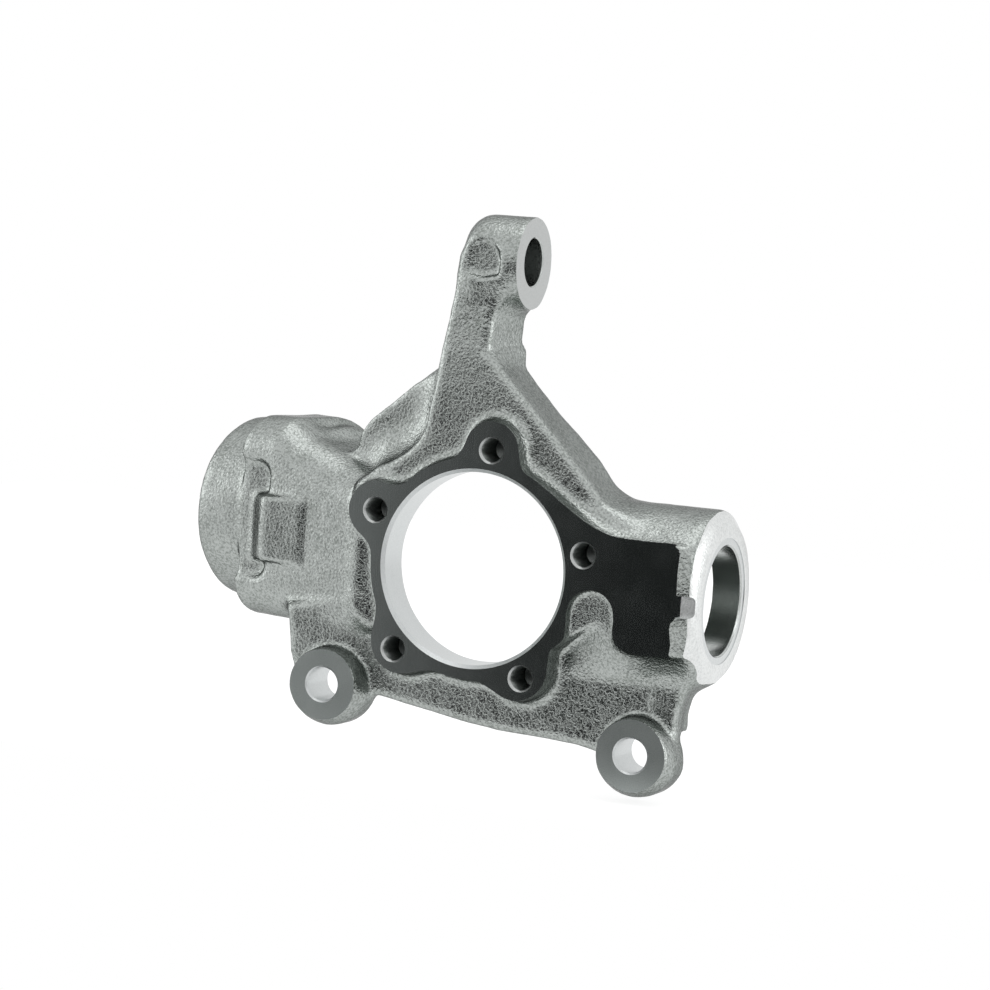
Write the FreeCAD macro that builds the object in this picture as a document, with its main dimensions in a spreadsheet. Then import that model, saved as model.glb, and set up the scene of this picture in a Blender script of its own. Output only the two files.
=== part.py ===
"""Steering knuckle, one iron casting with machined faces and bores.

Frame: origin on the hub bore's axis, in the milled outboard face. X runs along the steering axis
towards the lower joint, Y runs inboard along the wheel's axis, Z is up. Millimetres and degrees.
"""
import FreeCAD
import Part
import math
import os

from FreeCAD import Placement, Rotation, Vector

SIZES = [
    # alias, value, what it is
    ("hub_bore_r", 43.9, "radius of the bore that the wheel bearing passes"),
    ("hub_chamfer", 1.6, "lead-in of the hub bore"),
    ("hub_seat_depth", 20.0, "length of the hub bore, milled face to the back of the ring"),
    ("hub_ring_r", 50.5, "outer radius of the ring round the hub bore"),
    ("shaft_clear_r", 54.0, "room for the drive shaft's joint behind the ring"),
    ("bolt_circle_r", 54.5, "radius of the circle of bearing bolts"),
    ("first_bolt_angle", 12.28, "angle of the bolt in the arm of the milled face, from +X"),
    ("tap_r", 5.1, "tapping radius of the bearing bolts"),
    ("tap_depth", 18.5, "depth of the tapped holes"),
    ("tap_chamfer", 1.2, "countersink of the tapped holes"),
    ("lobe_r", 13.3, "radius of the two upper bolt lobes"),
    ("low_lobe_r", 15.0, "radius of the two lower bolt lobes"),
    ("low_lobe_reach", 49.0, "distance of the lower lobes' centres from the hub axis"),
    ("lobe_blend", 7.0, "fillet between lobe and ring"),
    ("web_front", 8.5, "depth of the cast web behind the milled face"),
    ("rim_back", 42.0, "depth of the casting's inboard rim"),
    ("arm_face_top", 20.4, "upper edge of the milled arm"),
    ("arm_face_bottom", 28.7, "lower edge of the milled arm, below the hub axis"),
    ("arm_blend", 25.0, "fillet between the ring and the milled arm's upper edge"),
    ("arm_corner", 10.0, "radius of the milled arm's inner lower corner"),
    ("finger_x", 58.5, "centre line of the finger-shaped recess beside the milled arm"),
    ("finger_z", 14.5, "centre of the recess's round top, below the hub axis"),
    ("finger_r", 11.0, "half width of the recess"),
    ("finger_depth", 5.0, "depth of the recess below the milled face"),
    ("joint_y", 33.0, "depth of the lower joint's axis"),
    ("joint_z", 5.3, "drop of the lower joint's axis below the hub axis"),
    ("joint_bore_r", 24.9, "bore of the lower joint"),
    ("joint_seat", 14.0, "length of the lower joint's bore"),
    ("joint_boss_r", 41.0, "outer radius of the lower joint's boss"),
    ("joint_end_x", 109.6, "end face of the lower joint's boss"),
    ("joint_bevel", 4.6, "length of the bevel at the boss's end"),
    ("joint_end_r", 34.0, "outer radius of the boss's end face"),
    ("joint_start_x", 47.0, "inner end of the lower joint's boss"),
    ("pocket_start_x", 60.0, "inner end of the pocket behind the lower joint's bore"),
    ("pocket_r", 25.5, "radius of that pocket"),
    ("mill_r", 58.0, "radius that the face cutter sweeps at the arm's end"),
    ("mill_x", 46.2, "centre of that sweep"),
    ("slot_width", 8.6, "slot between the two pads of the lower boss"),
    ("slot_end_x", 108.0, "end of the slot"),
    ("strut_x", 62.0, "where the strut socket starts, left of the hub axis"),
    ("strut_z", 9.8, "height of the strut axis over the hub axis"),
    ("strut_tilt", 13.0, "lean of the strut axis inboard"),
    ("strut_front", 46.0, "strut axis to the socket's flat outboard face"),
    ("strut_half_height", 47.8, "half height of the socket's body"),
    ("strut_round", 20.0, "radius along the body's outboard edges"),
    ("strut_nose_start", 4.0, "inner end of the socket's tapering back, along its axis"),
    ("strut_nose_r", 6.0, "radius of that taper at its inner end"),
    ("strut_body_start", 35.0, "inner end of the socket's full body, along its axis"),
    ("strut_body_end", 60.0, "outer end of the socket's body, along its axis"),
    ("collar_r", 43.7, "outer radius of the socket's end collar"),
    ("collar_end", 90.5, "end face of the collar along the strut axis"),
    ("collar_round", 5.0, "radius on the collar's rim"),
    ("strut_bore_r", 28.0, "bore of the strut socket"),
    ("strut_bore_depth", 50.0, "depth of the strut socket"),
    ("notch_right_x", 117.0, "inner edge of the notch beside the collar, left of the hub axis"),
    ("notch_floor", 24.0, "depth of the notch's floor"),
    ("notch_top", 37.0, "upper end of the notch"),
    ("notch_bottom", 18.0, "lower end of the notch, below the hub axis"),
    ("notch_corner", 5.0, "corner radius of the notch"),
    ("pad_left_x", 115.2, "outer edge of the raised pad's face, left of the hub axis"),
    ("pad_foot_x", 124.2, "foot of the pad's sloping outer side, in the notch"),
    ("pad_width", 21.9, "width of the pad's face"),
    ("pad_top", 21.5, "upper edge of the pad"),
    ("pad_height", 30.8, "height of the pad"),
    ("pad_face", 15.0, "depth of the pad's face"),
    ("eye_y", 29.0, "depth of the steering arm's eye"),
    ("eye_z", 139.7, "height of the eye"),
    ("eye_r", 21.5, "outer radius of the eye"),
    ("eye_bore_r", 11.0, "bore of the eye at its milled face"),
    ("eye_bore_small_r", 9.2, "bore of the eye at its other end"),
    ("eye_face_x", 7.6, "milled face of the eye"),
    ("eye_length", 31.0, "length of the eye"),
    ("eye_round", 9.0, "radius on the eye's unmilled end"),
    ("eye_recess_low_z", 131.0, "lower end of the arched recess in the eye"),
    ("eye_recess_r", 9.1, "half width of the arched recess in the eye"),
    ("eye_recess_x", 7.5, "centre of that recess, left of the hub axis"),
    ("eye_recess_floor", 11.5, "depth of its floor"),
    ("neck_left_x", 24.0, "left side of the steering arm's neck"),
    ("neck_right_x", 4.0, "right side of the neck"),
    ("neck_foot_z", 96.5, "height where the neck opens into the flank"),
    ("neck_slope_z", 106.0, "height from where the neck's front slopes inboard"),
    ("neck_waist_z", 112.0, "height of the neck's narrowest place"),
    ("hip_x", 32.5, "left hip of the arm"),
    ("hip_z", 60.0, "height of the hip"),
    ("flank_knee_x", 20.0, "bend in the right flank"),
    ("flank_knee_z", 71.5, "height of that bend"),
    ("flank_dip_x", 46.0, "hollow of the right flank before it reaches the lower boss"),
    ("flank_dip_z", 45.5, "height of that place"),
    ("flank_end_x", 70.0, "where the flank meets the lower joint's boss"),
    ("flank_end_z", 28.0, "height of that place"),
    ("web_draft", 2.0, "how much wider the arm's right flank is at the back"),
    ("shoulder_x", 60.0, "where the web's left edge meets the strut socket"),
    ("shoulder_z", 36.0, "height of that place"),
    ("root_x", 62.0, "where the web turns into the strut socket's root, left of the hub axis"),
    ("root_z", 32.0, "lower end of that root, below the hub axis"),
    ("rib_front", 35.0, "depth of the back rib's face"),
    ("rib_width", 6.0, "width of the back rib's face"),
    ("rib_peak_x", 49.5, "upper end of the back rib"),
    ("rib_peak_z", 79.5, "height of its upper end"),
    ("rib_toe_x", 75.0, "lower end of the back rib"),
    ("rib_toe_z", 57.0, "height of its lower end"),
    ("rib_root_x", 84.0, "how far the back rib runs into the strut socket's root"),
    ("trough_depth", 26.0, "depth where the hollow between the arm's left flank and the back rib bends"),
    ("trough_share", 0.3, "how far that bend has come from the flank towards the rib"),
    ("lug_r", 16.8, "radius of a caliper lug's milled face"),
    ("lug_body_r", 19.8, "radius of a caliper lug behind its face"),
    ("lug_taper", 8.0, "length over which the lug widens"),
    ("lug_thickness", 22.0, "thickness of a caliper lug"),
    ("lug_hole_r", 7.75, "bolt hole of a caliper lug"),
    ("lug_chamfer", 0.8, "chamfer of that hole"),
    ("lug_round", 4.0, "radius on a lug's back edge"),
    ("left_lug_x", 70.8, "left lug, left of the hub axis"),
    ("left_lug_z", 61.0, "left lug, below the hub axis"),
    ("right_lug_x", 82.8, "right lug"),
    ("right_lug_z", 75.2, "right lug, below the hub axis"),
    ("low_web_front", 12.0, "depth of the lower web's face"),
    ("low_web_thickness", 10.0, "thickness of the lower web"),
    ("column_left_x", 95.0, "outer side of the column between strut socket and left lug"),
    ("low_web_right_x", 98.5, "outer side of the web between lower boss and right lug"),
    ("lug_rib_width", 13.0, "width of the rib between lower boss and right lug"),
    ("lug_rib_back", 34.0, "depth of that rib's back"),
]

doc = FreeCAD.newDocument("knuckle")
sheet = doc.addObject("Spreadsheet::Sheet", "sizes")
for row, (alias, value, note) in enumerate(SIZES, start=1):
    sheet.set(f"A{row}", alias)
    sheet.set(f"B{row}", str(value))
    sheet.set(f"C{row}", note)
    sheet.setAlias(f"B{row}", alias)
doc.recompute()

INBOARD = Vector(0, 1, 0)
RIGHT = Vector(1, 0, 0)
OVERCUT = 1.0
FAR = 120.0


def size(alias):
    """A size as the sheet holds it."""
    return float(sheet.get(alias))


def bind(thing, **expressions):
    """Binds properties of an object to expressions on the sheet."""
    for name, expression in expressions.items():
        thing.setExpression(name, expression)
    return thing


def place(thing, x="0", y="0", z="0", axis=INBOARD):
    """Puts a primitive's own Z axis along axis, with its origin bound to three expressions."""
    thing.Placement = Placement(Vector(), Rotation(Vector(0, 0, 1), axis))
    for name, expression in (("x", x), ("y", y), ("z", z)):
        thing.setExpression(f"Placement.Base.{name}", expression)
    return thing


def cylinder(label, radius, height, x="0", y="0", z="0", axis=INBOARD):
    """A cylinder whose radius, height and foot are bound to the sheet."""
    solid = doc.addObject("Part::Cylinder", label)
    bind(solid, Radius=radius, Height=height)
    return place(solid, x, y, z, axis)


def cone(label, foot, tip, height, x="0", y="0", z="0", axis=INBOARD):
    """A truncated cone whose radii, height and foot are bound to the sheet."""
    solid = doc.addObject("Part::Cone", label)
    bind(solid, Radius1=foot, Radius2=tip, Height=height)
    return place(solid, x, y, z, axis)


def box(label, x, y, z, length, width, height):
    """A box along the axes, from its lowest corner."""
    solid = doc.addObject("Part::Box", label)
    bind(solid, Length=length, Width=width, Height=height)
    return place(solid, x, y, z, Vector(0, 0, 1))


def shaped(label, shape):
    """A shape made with Part's own functions from the sheet's sizes."""
    solid = doc.addObject("Part::Feature", label)
    solid.Shape = shape
    return solid


def fuse(label, solids):
    """One body from many."""
    joined = doc.addObject("Part::MultiFuse", label)
    joined.Shapes = solids
    joined.Refine = False
    return joined


def cut(label, base, tool):
    """Takes a tool away from a base."""
    rest = doc.addObject("Part::Cut", label)
    rest.Base = base
    rest.Tool = tool
    rest.Refine = False
    return rest


def in_face(points, depth=0.0):
    """A polygon from (x, z) points, parallel to the milled face at a depth."""
    corners = [Vector(x, depth, z) for x, z in points]
    return Part.makePolygon(corners + corners[:1])


def disc(x, z, radius):
    """A round face in the milled face's plane."""
    ring = Part.Circle(Vector(x, 0, z), INBOARD * -1, radius).toShape()
    return Part.Face(Part.Wire([ring]))


def one_face(face, *others):
    """One flat face from several that overlap."""
    joined = face.fuse(list(others)).removeSplitter()
    return joined.Faces[0]


def blended(face, radius):
    """Fills a flat face's inner corners with a radius and keeps its outer edge."""
    return face.makeOffset2D(radius).makeOffset2D(-radius)


def bolt_angles():
    """Angles of the five bearing bolts, from the milled arm's one on."""
    return [math.radians(size("first_bolt_angle") + 72.0 * step) for step in range(5)]


def milled_outline():
    """The flat outboard face: ring, four lobes and the arm to the lower joint."""
    top, bottom = size("arm_face_top"), -size("arm_face_bottom")
    inner = size("finger_x") + size("finger_r")
    reach, corner = size("joint_end_x") - size("joint_seat"), size("arm_corner")
    ring = disc(0, 0, size("hub_ring_r"))
    arm = Part.Face(in_face([(0, -size("finger_z")), (reach, -size("finger_z")), (reach, top), (0, top)]))
    face = blended(one_face(ring, arm), size("arm_blend"))
    face = face.cut(disc(size("finger_x"), -size("finger_z"), size("finger_r"))).Faces[0]
    lobes = []
    for index, angle in enumerate(bolt_angles()[1:]):
        distance = size("bolt_circle_r") if index < 2 else size("low_lobe_reach")
        radius = size("lobe_r") if index < 2 else size("low_lobe_r")
        lobes.append(disc(distance * math.cos(angle), distance * math.sin(angle), radius))
    foot = Part.Face(in_face([(inner, 0), (inner, bottom + corner), (inner + corner, bottom),
                              (reach, bottom), (reach, 0)]))
    return one_face(face, blended(one_face(ring, *lobes), size("lobe_blend")), foot,
                    disc(inner + corner, bottom + corner, corner))


def upper_web():
    """The steering arm with its flanks, and the rib that stands out behind it on the left."""
    front, rib_front, back = size("web_front"), size("rib_front"), size("rim_back")
    waist, foot = size("neck_waist_z"), size("neck_foot_z")
    left, right, crown_z = -size("neck_left_x"), -size("neck_right_x"), size("eye_z")
    knee = Vector(size("flank_knee_x"), size("flank_knee_z"))
    flank_end = Vector(size("flank_end_x"), size("flank_end_z"))
    hip = Vector(-size("hip_x"), size("hip_z"))
    inside = [(flank_end.x, 0), (0, 0), (hip.x, -size("root_z"))]
    neck = [(left, waist), (left + 4, crown_z), (1.5, crown_z), (right, waist), (right, foot)]
    dip = Vector(size("flank_dip_x"), size("flank_dip_z"))
    near = neck + [(knee.x, knee.y), (dip.x, dip.y), (flank_end.x, flank_end.y)] + inside + [
        (-size("root_x"), -size("root_z")), (-size("root_x"), size("shoulder_z")), (-size("shoulder_x"), size("shoulder_z")),
        (hip.x - 10, hip.y - 11.5), (hip.x, hip.y), (hip.x + 3.5, size("rib_peak_z") + 3),
        (hip.x + 4.5, size("rib_peak_z") + 8.5)]
    draft = size("web_draft")
    far = [(x + (draft if x > left + 5 else 0), z) for x, z in neck] + [
        (knee.x + draft, knee.y + draft), (dip.x + draft, dip.y + draft),
        (flank_end.x + draft, flank_end.y)] + inside
    peak = Vector(-size("rib_peak_x"), size("rib_peak_z"))
    toe = Vector(-size("rib_toe_x"), size("rib_toe_z"))
    along = (toe - peak).normalize()
    inward = Vector(-along.y, along.x) * size("rib_width")
    start = Vector(peak.x + 8, peak.y + 2.5)
    root = -size("rib_root_x")
    edge = [(root, -size("root_z") + 12), (root, toe.y - 25), (toe.x - 1, toe.y - 7), (toe.x, toe.y),
            (peak.x, peak.y), (start.x, start.y), (start.x + 13, start.y + 1.5)]
    trough = edge[:2] + [(x + inward.x, z + inward.y) for x, z in edge[2:-1]] + edge[-1:]
    bend, share = size("trough_depth"), size("trough_share")
    middle = [(a + (c - a) * share, b + (d - b) * share) for (a, b), (c, d) in zip(near, far + trough)]
    web = Part.makeLoft([in_face(near, front), in_face(middle, bend), in_face(far + trough, rib_front)], True, True)
    rib = Part.Face(in_face(far + edge, rib_front)).extrude(INBOARD * (back - rib_front))
    slope = [Vector(0, y, z) for y, z in [
        (0, size("neck_slope_z")), (front, size("neck_slope_z")),
        (size("eye_recess_floor"), size("eye_recess_low_z")), (size("eye_recess_floor"), 2 * crown_z),
        (0, 2 * crown_z), (0, size("neck_slope_z"))]]
    wedge = Part.Face(Part.makePolygon(slope)).extrude(RIGHT * FAR)
    wedge.translate(RIGHT * (-FAR / 2))
    return web.fuse(rib).cut(wedge)


def lower_web():
    """The web under the ring that carries the two caliper lugs."""
    left, right = -size("column_left_x"), size("low_web_right_x")
    lug_left = (-size("left_lug_x"), -size("left_lug_z"))
    lug_right = (size("right_lug_x"), -size("right_lug_z"))
    outline = [(left, -size("root_z")), (left + 4, lug_left[1]), (lug_left[0], lug_left[1] - 6),
               (lug_left[0] + 22, lug_left[1] - 3.2), (lug_right[0] - 21, lug_right[1] - 2.2),
               (lug_right[0], lug_right[1] - 6), (right, lug_right[1]), (right, lug_right[1] + 20),
               (right + 4, -size("joint_z") - 30), (0, 0)]
    web = Part.Face(in_face(outline, size("low_web_front")))
    return web.extrude(INBOARD * size("low_web_thickness"))


def strut_frame():
    """Frame of the strut socket: its Z axis runs out along the strut, its X axis is up."""
    lean = math.radians(size("strut_tilt"))
    along = Vector(-math.cos(lean), math.sin(lean), 0)
    depth = size("web_front") + size("strut_front") / math.cos(lean)
    up = Vector(0, 0, 1)
    turn = Rotation(up, along.cross(up), along, "ZYX")
    return Placement(Vector(-size("strut_x"), depth, size("strut_z")), turn)


def strut_section():
    """Section of the socket's body: flat outboard face, round back, in the socket's own frame."""
    half, front, edge = size("strut_half_height"), size("strut_front"), size("strut_round")
    bend = edge * (1 - math.sqrt(0.5))
    top, low = Vector(half, 0, 0), Vector(-half, 0, 0)
    top_edge, top_face = Vector(half, -front + edge, 0), Vector(half - edge, -front, 0)
    low_edge, low_face = Vector(-half, -front + edge, 0), Vector(-half + edge, -front, 0)
    edges = [
        Part.Arc(top, Vector(0, half, 0), low).toShape(),
        Part.makeLine(low, low_edge),
        Part.Arc(low_edge, Vector(-half + bend, -front + bend, 0), low_face).toShape(),
        Part.makeLine(low_face, top_face),
        Part.Arc(top_face, Vector(half - bend, -front + bend, 0), top_edge).toShape(),
        Part.makeLine(top_edge, top),
    ]
    return Part.Face(Part.Wire(edges))


def strut_root():
    """The tapering root between the web round the hub and the socket's full body."""
    half, front = size("strut_half_height"), size("strut_front")
    flat, shoulder = 0.5 * half, 0.92 * half
    outer = Part.makePolygon([Vector(height, depth, 0) for height, depth in [
        (-flat, -front), (flat, -front), (shoulder, -0.65 * front), (half, 0), (half, 0.4 * front),
        (-half, 0.4 * front), (-half, 0), (-shoulder, -0.65 * front), (-flat, -front)]])
    outer.Placement = strut_frame().multiply(Placement(Vector(0, 0, size("strut_body_start") + 2), Rotation()))
    start, near, back = -size("root_x") + 2, size("web_front"), size("rim_back")
    top, low = size("shoulder_z"), -size("root_z") - 1
    inner = Part.makePolygon([Vector(start, depth, height) for height, depth in [
        (0.6 * low, near), (0.6 * top, near), (0.9 * top, near + 2), (top, near + 16), (top + 2, back),
        (low, back), (low, near + 16), (0.9 * low, near + 2), (0.6 * low, near)]])
    return Part.makeLoft([inner, outer], True, True)


def strut_socket():
    """Root, body and collar of the strut socket, without its bore."""
    start, end = size("strut_body_start"), size("strut_body_end")
    body = strut_section().extrude(Vector(0, 0, end - start))
    body.translate(Vector(0, 0, start))
    nose = Part.makeCone(size("strut_nose_r"), size("strut_half_height"), start - size("strut_nose_start"),
                         Vector(0, 0, size("strut_nose_start")))
    collar = Part.makeCylinder(size("collar_r"), size("collar_end") - start, Vector(0, 0, start))
    rim = [edge for edge in collar.Edges
           if edge.Curve.TypeId == "Part::GeomCircle" and edge.CenterOfMass.z > end]
    collar = collar.makeFillet(size("collar_round"), rim)
    socket = body.fuse([nose, collar])
    socket.Placement = strut_frame()
    return socket.fuse(strut_root())


def strut_bore():
    """The socket's bore with its lead-in, from the collar's end inwards."""
    radius, depth, end = size("strut_bore_r"), size("strut_bore_depth"), size("collar_end")
    lead = 1.5
    bore = Part.makeCylinder(radius, depth + OVERCUT, Vector(0, 0, end - depth))
    mouth = Part.makeCone(radius, radius + lead + OVERCUT, lead + OVERCUT, Vector(0, 0, end - lead))
    bore = bore.fuse(mouth)
    bore.Placement = strut_frame()
    return bore


def notch():
    """The notch beside the collar, open outboard."""
    left = -size("strut_x") - size("collar_end")
    right, corner = -size("notch_right_x"), size("notch_corner")
    top, bottom = size("notch_top"), -size("notch_bottom")
    block = Part.makeBox(right - left, FAR, top - bottom, Vector(left, size("notch_floor") - FAR, bottom))
    upright = [edge for edge in block.Edges
               if abs(edge.tangentAt(edge.FirstParameter).y) > 0.9 and edge.CenterOfMass.x > right - 1]
    return block.makeFillet(corner, upright)


def raised_pad():
    """The square pad on the socket's outboard face, sloping down into the notch on its outer side."""
    left, right, foot = -size("pad_left_x"), -size("pad_left_x") + size("pad_width"), -size("pad_foot_x")
    face, floor, back = size("pad_face"), size("notch_floor"), size("pad_face") + 22.0
    section = [Vector(x, y, size("pad_top") - size("pad_height")) for x, y in [
        (left, face), (right, face), (right, back), (foot, back), (foot, floor), (left, face)]]
    block = Part.Face(Part.makePolygon(section)).extrude(Vector(0, 0, size("pad_height")))
    front = [edge for edge in block.Edges if abs(edge.CenterOfMass.y - face) < 1e-6
             and edge.CenterOfMass.x < right - 1e-6]
    return block.makeFillet(1.5, front)


def eye():
    """The steering arm's eye, rounded at its unmilled end."""
    barrel = Part.makeCylinder(size("eye_r"), size("eye_length"),
                               Vector(size("eye_face_x"), size("eye_y"), size("eye_z")), RIGHT * -1)
    far = [edge for edge in barrel.Edges
           if edge.Curve.TypeId == "Part::GeomCircle" and edge.CenterOfMass.x < size("eye_face_x") - 1]
    return barrel.makeFillet(size("eye_round"), far)


def eye_recess():
    """The arched recess in the eye's outboard side."""
    radius, floor = size("eye_recess_r"), size("eye_recess_floor")
    arch = Part.makeCylinder(radius, FAR, Vector(-size("eye_recess_x"), floor - FAR, size("eye_z")), INBOARD)
    run = size("eye_z") - size("eye_recess_low_z")
    return arch.fuse(Part.makeBox(2 * radius, FAR, run,
                                  Vector(-size("eye_recess_x") - radius, floor - FAR, size("eye_z") - run)))


def finger_recess():
    """The as-cast recess between the ring and the milled arm, down to its floor."""
    left, inner = size("finger_x") - size("finger_r"), size("finger_x") + size("finger_r")
    middle, bottom, corner = -size("finger_z"), -size("arm_face_bottom"), size("arm_corner")
    low = bottom - corner
    open_side = Part.Face(in_face([(left, middle), (inner, middle), (inner, bottom + corner),
                                   (inner + corner, bottom), (inner + corner, low), (left, low)]))
    face = disc(size("finger_x"), middle, size("finger_r")).fuse(open_side)
    face = face.cut(disc(inner + corner, bottom + corner, corner)).cut(disc(0, 0, size("hub_ring_r")))
    recess = face.extrude(INBOARD * (FAR + size("finger_depth")))
    recess.translate(INBOARD * -FAR)
    return recess


def slot():
    """The slot between the lower boss's pads, down to the milled face."""
    half = size("slot_width") / 2
    middle = -size("joint_z") - 0.4
    block = Part.makeBox(size("slot_end_x") - size("mill_x"), FAR, 2 * half,
                         Vector(size("mill_x"), -FAR, middle - half))
    upright = [edge for edge in block.Edges
               if abs(edge.tangentAt(edge.FirstParameter).y) > 0.9 and edge.CenterOfMass.x > size("mill_x") + 1]
    return block.makeFillet(0.7 * half, upright)


def lug(side, x, z):
    """A caliper lug: tapered to its milled face, rounded at the back."""
    taper = cone(f"{side}_lug_taper", "sizes.lug_r", "sizes.lug_body_r", "sizes.lug_taper", x, "0", z)
    body = cylinder(f"{side}_lug_body", "sizes.lug_body_r", "sizes.lug_thickness - sizes.lug_taper",
                    x, "sizes.lug_taper", z)
    doc.recompute()
    rounded = doc.addObject("Part::Fillet", f"{side}_lug_rounded")
    rounded.Base = body
    back = max(range(len(body.Shape.Edges)), key=lambda index: body.Shape.Edges[index].CenterOfMass.y)
    rounded.Edges = [(back + 1, size("lug_round"), size("lug_round"))]
    return [taper, rounded]


def lug_hole(side, x, z):
    """The bolt hole of a lug, chamfered at its milled face."""
    hole = cylinder(f"{side}_lug_hole", "sizes.lug_hole_r", "sizes.lug_thickness + 20", x, "-10", z)
    mouth = cone(f"{side}_lug_mouth", "sizes.lug_hole_r + 2 * sizes.lug_chamfer", "sizes.lug_hole_r",
                 "2 * sizes.lug_chamfer", x, "-sizes.lug_chamfer", z)
    return [hole, mouth]


LEFT_LUG = ("-sizes.left_lug_x", "-sizes.left_lug_z")
RIGHT_LUG = ("sizes.right_lug_x", "-sizes.right_lug_z")

flange_face = milled_outline()
flange = shaped("milled_flange", flange_face.extrude(INBOARD * size("hub_seat_depth")))
joint_boss = cylinder("joint_boss", "sizes.joint_boss_r",
                      "sizes.joint_end_x - sizes.joint_bevel - sizes.joint_start_x",
                      "sizes.joint_start_x", "sizes.joint_y", "-sizes.joint_z", RIGHT)
joint_end = cone("joint_bevel_end", "sizes.joint_boss_r", "sizes.joint_end_r", "sizes.joint_bevel",
                 "sizes.joint_end_x - sizes.joint_bevel", "sizes.joint_y", "-sizes.joint_z", RIGHT)
lug_rib = box("lug_rib", "sizes.low_web_right_x - sizes.lug_rib_width", "sizes.low_web_front",
              "-sizes.right_lug_z + 2 * sizes.lug_hole_r", "sizes.lug_rib_width",
              "sizes.lug_rib_back - sizes.low_web_front",
              "sizes.right_lug_z - 2 * sizes.lug_hole_r - sizes.joint_z - 24")
casting = fuse("rough_casting", [
    shaped("upper_web", upper_web()), shaped("lower_web", lower_web()), lug_rib,
    shaped("strut_socket", strut_socket()), shaped("eye", eye()),
    *lug("left", *LEFT_LUG), *lug("right", *RIGHT_LUG), joint_boss, joint_end])

hub_tools = [
    cylinder("hub_bore", "sizes.hub_bore_r", "sizes.hub_seat_depth + 20", y="-10"),
    cone("hub_lead_in", "sizes.hub_bore_r + 2 * sizes.hub_chamfer", "sizes.hub_bore_r",
         "2 * sizes.hub_chamfer", y="-sizes.hub_chamfer"),
    cylinder("shaft_clearance", "sizes.shaft_clear_r", "150", y="sizes.hub_seat_depth")]

bolt_tools = []
for step in range(5):
    angle = f"(sizes.first_bolt_angle + {72 * step}) * 1deg"
    x, z = f"sizes.bolt_circle_r * cos({angle})", f"sizes.bolt_circle_r * sin({angle})"
    bolt_tools.append(cylinder(f"tapped_hole_{step}", "sizes.tap_r", "sizes.tap_depth + 10", x, "-10", z))
    bolt_tools.append(cone(f"countersink_{step}", "sizes.tap_r + 2 * sizes.tap_chamfer", "sizes.tap_r",
                           "2 * sizes.tap_chamfer", x, "-sizes.tap_chamfer", z))

joint_tools = [
    cylinder("joint_bore", "sizes.joint_bore_r", "60", "sizes.joint_end_x - sizes.joint_seat - 20",
             "sizes.joint_y", "-sizes.joint_z", RIGHT),
    cylinder("joint_pocket", "sizes.pocket_r",
             "sizes.joint_end_x - sizes.joint_seat - sizes.pocket_start_x",
             "sizes.pocket_start_x", "sizes.joint_y", "-sizes.joint_z", RIGHT),
    box("joint_pocket_mouth", "sizes.pocket_start_x", "sizes.joint_y", "-sizes.joint_z - sizes.pocket_r",
        "sizes.joint_end_x - sizes.joint_seat - sizes.pocket_start_x", "120", "2 * sizes.pocket_r"),
    cylinder("face_cutter", "sizes.mill_r", "60", "sizes.mill_x", "-60", "-sizes.joint_z"),
    shaped("pad_slot", slot()), shaped("finger_recess", finger_recess())]

eye_tools = [
    cone("eye_bore", "sizes.eye_bore_r", "sizes.eye_bore_small_r", "sizes.eye_length",
         "sizes.eye_face_x", "sizes.eye_y", "sizes.eye_z", RIGHT * -1),
    shaped("eye_recess", eye_recess())]

shell = fuse("casting_with_flange", [casting, flange])
notched = cut("casting_with_notch", shell, shaped("notch", notch()))
padded = fuse("casting_with_pad", [notched, shaped("raised_pad", raised_pad())])
tools = fuse("machining", hub_tools + bolt_tools + joint_tools + eye_tools
             + lug_hole("left", *LEFT_LUG) + lug_hole("right", *RIGHT_LUG)
             + [shaped("strut_bore", strut_bore())])
knuckle = cut("knuckle", padded, tools)
knuckle.Refine = True
knuckle.Label = "knuckle"
doc.recompute()

for thing in doc.Objects:
    state = set(thing.State)
    if state & {"Invalid", "Error"}:
        raise RuntimeError(f"{thing.Label} failed: {thing.State}")

solid = knuckle.Shape
if solid.isNull() or not solid.isValid() or len(solid.Solids) != 1:
    raise RuntimeError(f"knuckle is not one valid solid: {len(solid.Solids)} solids, valid {solid.isValid()}")
os.makedirs("parts", exist_ok=True)
solid.exportStep("parts/knuckle.step")
bounds = solid.BoundBox
print(f"knuckle: {bounds.XLength:.1f} x {bounds.YLength:.1f} x {bounds.ZLength:.1f} mm, "
      f"{solid.Volume / 1000:.1f} cm3, {len(solid.Faces)} faces")
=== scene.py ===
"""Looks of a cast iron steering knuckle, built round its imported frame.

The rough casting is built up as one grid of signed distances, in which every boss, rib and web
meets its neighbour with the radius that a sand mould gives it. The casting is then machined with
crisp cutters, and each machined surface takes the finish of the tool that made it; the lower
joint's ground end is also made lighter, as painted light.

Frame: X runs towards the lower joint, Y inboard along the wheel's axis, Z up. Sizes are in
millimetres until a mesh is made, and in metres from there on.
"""

import logging
import math
from dataclasses import dataclass, field
from enum import Enum
from typing import Callable, Sequence

import bmesh
import bpy
import numpy as np
from mathutils import Matrix, Vector, noise

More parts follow.
